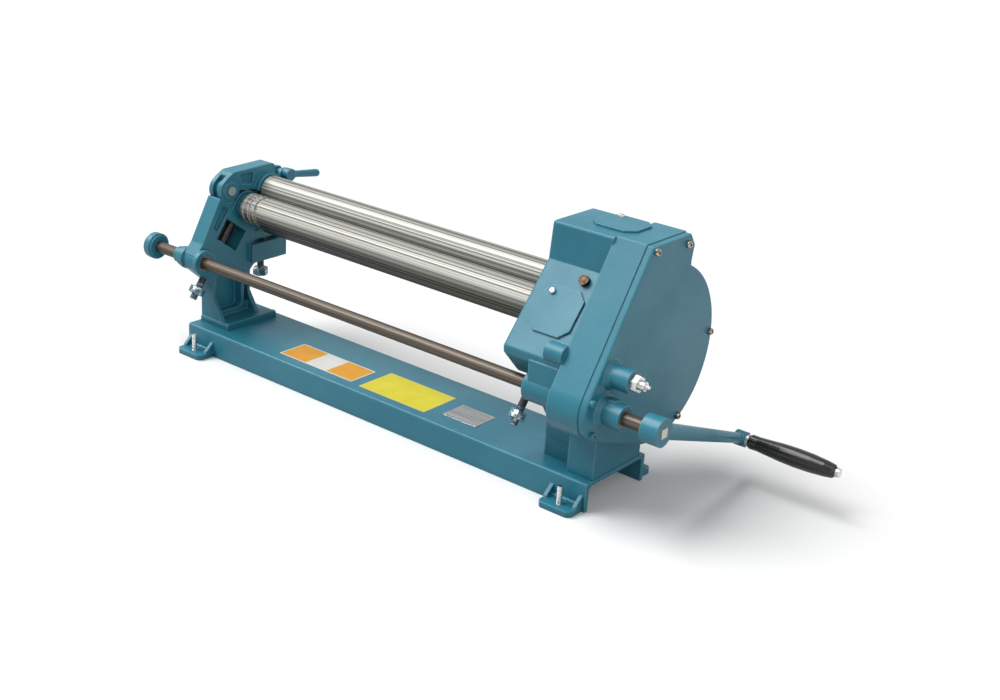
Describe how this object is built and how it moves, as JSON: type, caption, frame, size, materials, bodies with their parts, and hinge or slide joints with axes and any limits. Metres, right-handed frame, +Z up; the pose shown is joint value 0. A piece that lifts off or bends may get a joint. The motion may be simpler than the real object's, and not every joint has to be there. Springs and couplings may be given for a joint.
{
  "type": "slip roll machine",
  "caption": "Bench slip roll: geared rolls between an end frame with a hinged bearing and a gear housing, on a channel base, turned by a side crank.",
  "frame": {"origin": "on the bench, at the middle of the four foot studs, under the middle of the channel base", "axes": "+Z up along the studs, +X along the rolls towards the crank, +Y from the drive shaft's side to the back"},
  "size_m": [1.225, 0.331, 0.396],
  "materials": {
    "teal_paint": "smooth enamel on castings",
    "base_paint": "enamel on rolled channel",
    "crank_paint": "smooth enamel",
    "ground_roll": "ground and oiled",
    "dark_steel": "drawn bar, oiled",
    "zinc_steel": "zinc plated",
    "gear_steel": "machined cast iron",
    "bronze": "bored",
    "black_grip": "polished black"
  },
  "bodies": {
    "base": {"base_channel": "base_paint", "foot_front_left": "teal_paint", "foot_back_left": "teal_paint", "foot_front_right": "teal_paint", "foot_back_right": "teal_paint", "foot_studs": "zinc_steel", "frame_bolts": "zinc_steel", "end_frame": "teal_paint", "yoke_pin": "zinc_steel", "left_shaft_bush": "bronze", "gear_housing": "teal_paint", "gear_cover": "teal_paint", "cover_screws": "zinc_steel", "idler_stud": "zinc_steel", "idler_nut": "zinc_steel", "middle_shaft_bush": "bronze", "cover_shaft_bush": "bronze", "top_plate": "teal_paint", "top_plate_screw": "zinc_steel", "front_plate": "teal_paint", "front_plate_screw": "zinc_steel", "oil_plug": "gear_steel"},
    "yoke": {"top_yoke": "teal_paint"},
    "clamp": {"clamp_lever": "teal_paint"},
    "drive": {"drive_shaft": "dark_steel", "shaft_end_hub": "teal_paint", "stop_collar": "teal_paint", "collar_screw": "zinc_steel", "crank_arm": "crank_paint", "grip_spindle": "zinc_steel", "drive_pinion": "gear_steel"},
    "grip": {"crank_grip": "black_grip"},
    "idler": {"idler_gear": "gear_steel"},
    "bull": {"bull_gear": "gear_steel"},
    "top": {"top_roll": "ground_roll", "top_roll_gear": "gear_steel"},
    "lower_carriage": {"lower_block_left": "teal_paint", "lower_block_right": "teal_paint"},
    "lower": {"lower_roll": "ground_roll", "lower_roll_gear": "gear_steel"},
    "lower_left_screw": {"lower_screw_left": "teal_paint"},
    "lower_right_screw": {"lower_screw_right": "teal_paint"},
    "bend_carriage": {"bend_block_left": "gear_steel", "bend_block_right": "gear_steel"},
    "bend": {"bending_roll": "ground_roll"},
    "bend_left_screw": {"bend_screw_left": "zinc_steel"},
    "bend_right_screw": {"bend_screw_right": "zinc_steel"}
  },
  "joints": [
    {"name": "drive_spin", "type": "hinge", "parent": "base", "child": "drive", "pos_m": [0, -0.075, 0.16589], "axis": [1, 0, 0], "continuous": true},
    {"name": "grip_spin", "type": "hinge", "parent": "drive", "child": "grip", "pos_m": [0.6, 0.18446, 0.06888], "axis": [1, 0, 0], "continuous": true},
    {"name": "idler_spin", "type": "hinge", "parent": "base", "child": "idler", "pos_m": [0.4, -0.063, 0.217], "axis": [1, 0, 0], "continuous": true},
    {"name": "bull_spin", "type": "hinge", "parent": "base", "child": "bull", "pos_m": [0.4, 0.075, 0.217], "axis": [1, 0, 0], "continuous": true},
    {"name": "top_roll_spin", "type": "hinge", "parent": "base", "child": "top", "pos_m": [0, 0.075, 0.27], "axis": [1, 0, 0], "continuous": true},
    {"name": "lower_roll_lift", "type": "slide", "parent": "base", "child": "lower_carriage", "axis": [0, 0, 1], "range_m": [-0.003, 0.0008]},
    {"name": "lower_roll_spin", "type": "hinge", "parent": "lower_carriage", "child": "lower", "pos_m": [0, 0.075, 0.217], "axis": [1, 0, 0], "continuous": true},
    {"name": "bend_roll_slide", "type": "slide", "parent": "base", "child": "bend_carriage", "axis": [0, 0.5878, 0.809], "range_m": [-0.038, 0.001]},
    {"name": "bend_roll_spin", "type": "hinge", "parent": "bend_carriage", "child": "bend", "pos_m": [0, 0.0265, 0.247], "axis": [1, 0, 0], "continuous": true},
    {"name": "bend_screw_left_turn", "type": "hinge", "parent": "bend_carriage", "child": "bend_left_screw", "pos_m": [-0.411, 0.0265, 0.247], "axis": [0, 0.5878, 0.809], "continuous": true},
    {"name": "bend_screw_right_turn", "type": "hinge", "parent": "bend_carriage", "child": "bend_right_screw", "pos_m": [0.296, 0.0265, 0.247], "axis": [0, 0.5878, 0.809], "continuous": true},
    {"name": "lower_screw_left_turn", "type": "hinge", "parent": "lower_carriage", "child": "lower_left_screw", "pos_m": [-0.411, 0.075, 0.15], "axis": [0, 0, 1], "continuous": true},
    {"name": "lower_screw_right_turn", "type": "hinge", "parent": "lower_carriage", "child": "lower_right_screw", "pos_m": [0.304, 0.075, 0.15], "axis": [0, 0, 1], "continuous": true},
    {"name": "yoke_open", "type": "hinge", "parent": "base", "child": "yoke", "pos_m": [-0.411, -0.01, 0.281], "axis": [1, 0, 0], "range_deg": [0, 90]},
    {"name": "clamp_turn", "type": "hinge", "parent": "base", "child": "clamp", "pos_m": [-0.411, 0.121, 0.29], "axis": [1, 0, 0], "range_deg": [-40, 80]}
  ],
  "couplings": [
    {"joint": "idler_spin", "follows": "drive_spin", "ratio": -1.5},
    {"joint": "bull_spin", "follows": "drive_spin", "ratio": 0.26923},
    {"joint": "top_roll_spin", "follows": "drive_spin", "ratio": -0.26923},
    {"joint": "lower_roll_spin", "follows": "drive_spin", "ratio": 0.26923},
    {"joint": "bend_screw_left_turn", "follows": "bend_roll_slide", "rad_per_m": 3590.4},
    {"joint": "bend_screw_right_turn", "follows": "bend_roll_slide", "rad_per_m": 3590.4},
    {"joint": "lower_screw_left_turn", "follows": "lower_roll_lift", "rad_per_m": 3590.4},
    {"joint": "lower_screw_right_turn", "follows": "lower_roll_lift", "rad_per_m": 3590.4}
  ]
}
